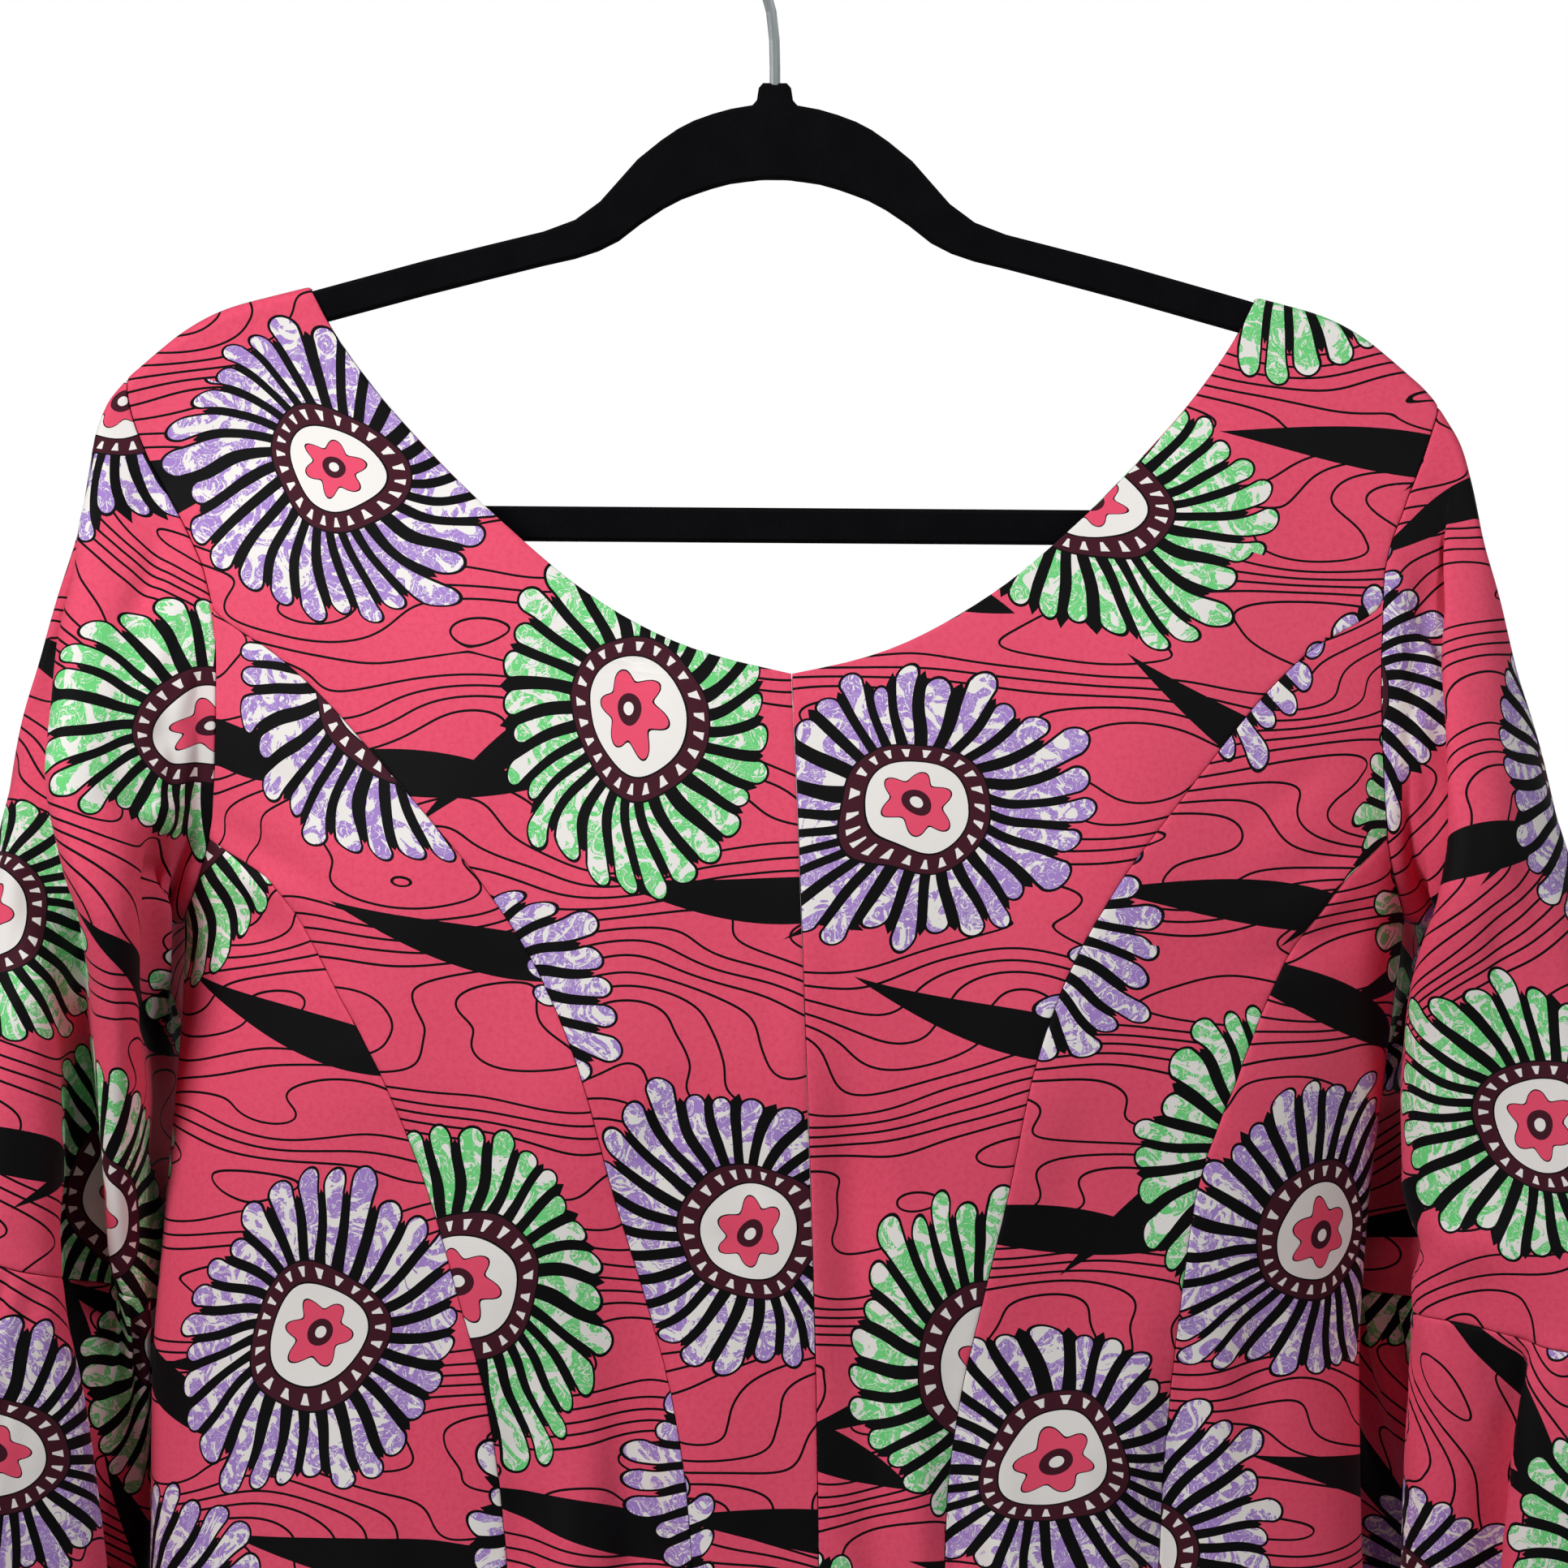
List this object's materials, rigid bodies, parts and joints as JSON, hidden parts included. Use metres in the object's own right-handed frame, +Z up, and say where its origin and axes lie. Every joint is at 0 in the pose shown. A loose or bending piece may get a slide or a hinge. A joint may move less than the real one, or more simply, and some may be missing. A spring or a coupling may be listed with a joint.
{
  "type": "collarless bell-sleeve jacket top on a slim flocked clothes hanger",
  "caption": "Collarless, princess-seamed jacket top of printed cotton with flounced bell sleeves, hung on a slim flocked clothes hanger with a wire hook.",
  "frame": {"origin": "inside of the crown of the hanger's hook, the point that rests on a rail", "axes": "+Z up, the pictured front faces -Y, +X to the right as seen from the front"},
  "size_m": [0.7101, 0.1824, 0.7585],
  "materials": {
    "printed_cotton": "plain-woven cotton with a flower print on pink",
    "black_flock": "matt flocking over moulded plastic",
    "bright_wire": "bright plated wire"
  },
  "bodies": {
    "root": {"front_centre_left": "printed_cotton", "front_centre_right": "printed_cotton", "front_middle_left": "printed_cotton", "front_middle_right": "printed_cotton", "front_side_left": "printed_cotton", "front_side_right": "printed_cotton", "back_centre_left": "printed_cotton", "back_centre_right": "printed_cotton", "back_middle_left": "printed_cotton", "back_middle_right": "printed_cotton", "back_side_left": "printed_cotton", "back_side_right": "printed_cotton", "sleeve_left": "printed_cotton", "sleeve_right": "printed_cotton", "flounce_left": "printed_cotton", "flounce_right": "printed_cotton", "hanger_frame": "black_flock", "hook": "bright_wire"}
  },
  "joints": []
}
